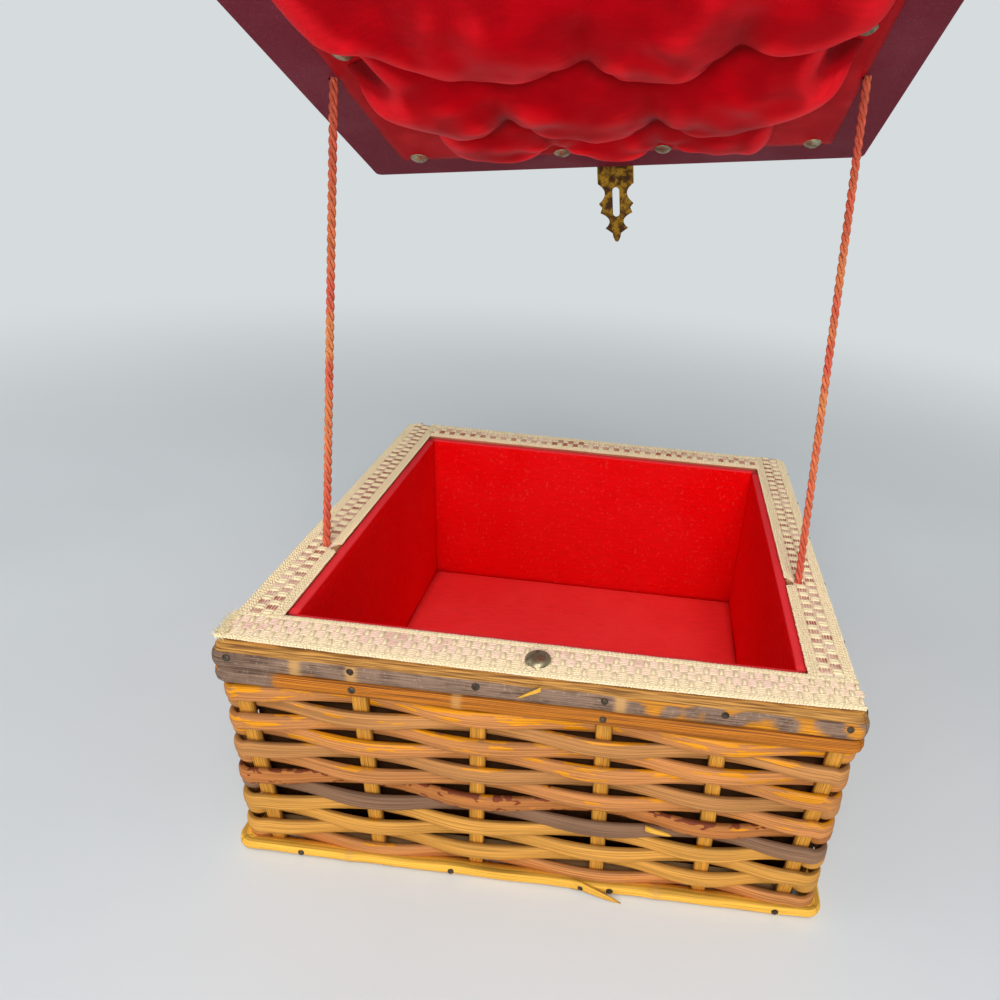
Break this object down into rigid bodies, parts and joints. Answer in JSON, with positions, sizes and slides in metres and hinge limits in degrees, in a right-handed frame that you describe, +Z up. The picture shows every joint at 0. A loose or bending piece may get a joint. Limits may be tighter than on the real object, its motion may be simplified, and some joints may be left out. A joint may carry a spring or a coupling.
{
  "type": "sewing box",
  "caption": "Square wicker sewing box with a red lining, a braided rim and a loose padded lid with a slotted hasp, held up on cords.",
  "frame": {"origin": "centre of the base board's underside", "axes": "+Z up; -Y is the near side of the picture; +Y is the side of the hasp's staple; +X to the right of the picture"},
  "size_m": [0.2834, 0.3103, 0.4348],
  "materials": {
    "base_wood": "plain wood",
    "woven_cane": "honey brown cane with patches of glossy skin",
    "stake_cane": "golden cane with fine dark grain",
    "rim_cane": "weathered grey brown cane",
    "under_cane": "orange brown cane",
    "bottom_cane": "yellow cane",
    "lining_red": "smooth red cloth over card",
    "nail_iron": "dark nail heads",
    "braid_cream": "cream woven braid with rose brown dashes",
    "old_brass": "antique brass, darkened at the edges",
    "cord_salmon": "twisted cord, faded salmon red",
    "lid_maroon": "fine grained maroon covering",
    "satin_red": "red satin"
  },
  "bodies": {
    "box": {"base_board": "base_wood", "rim_rail_near": "base_wood", "rim_rail_right": "base_wood", "rim_rail_far": "base_wood", "rim_rail_left": "base_wood", "woven_wall_near": "woven_cane", "woven_wall_right": "woven_cane", "woven_wall_far": "woven_cane", "woven_wall_left": "woven_cane", "stakes_near": "stake_cane", "stakes_right": "stake_cane", "stakes_far": "stake_cane", "stakes_left": "stake_cane", "rim_band_near": "rim_cane", "rim_band_right": "rim_cane", "rim_band_far": "rim_cane", "rim_band_left": "rim_cane", "under_band_near": "under_cane", "under_band_right": "under_cane", "under_band_far": "under_cane", "under_band_left": "under_cane", "bottom_band_near": "bottom_cane", "bottom_band_right": "bottom_cane", "bottom_band_far": "bottom_cane", "bottom_band_left": "bottom_cane", "lining_near": "lining_red", "lining_right": "lining_red", "lining_far": "lining_red", "lining_left": "lining_red", "floor_panel": "lining_red", "rim_band_nails": "nail_iron", "under_band_nails": "nail_iron", "bottom_band_nails": "nail_iron", "braid_near": "braid_cream", "braid_surround": "braid_cream", "rim_stud": "old_brass", "hasp_staple": "old_brass", "cord_left": "cord_salmon", "cord_right": "cord_salmon"},
    "lid_tether": {"cord_knot_left": "cord_salmon"},
    "lid": {"cord_knot_right": "cord_salmon", "lid_board": "lid_maroon", "lid_cloth": "satin_red", "lid_padding": "satin_red", "lid_tacks": "old_brass", "hasp_plate": "old_brass", "hasp_plate_nails": "old_brass", "hasp_pin": "old_brass"},
    "hasp": {"hasp_leaf": "old_brass"}
  },
  "joints": [
    {"name": "lid_lift", "type": "slide", "parent": "box", "child": "lid_tether", "axis": [-0.0027, -0.1613, 0.9869], "range_m": [-0.20972, 0], "deforming": ["cord_left", "cord_right"]},
    {"name": "lid_tilt", "type": "hinge", "parent": "lid_tether", "child": "lid", "pos_m": [-0.11857, -0.00483, 0.33838], "axis": [0.9629, 0.2698, 0], "range_deg": [0, 24]},
    {"name": "hasp_swing", "type": "hinge", "parent": "lid", "child": "hasp", "pos_m": [0.00098, 0.10208, 0.30931], "axis": [0.9937, 0.0225, 0.1097], "range_deg": [-23.3, 150]}
  ],
  "couplings": [
    {"joint": "lid_tilt", "follows": "lid_lift", "rad_per_m": -1.9973}
  ]
}
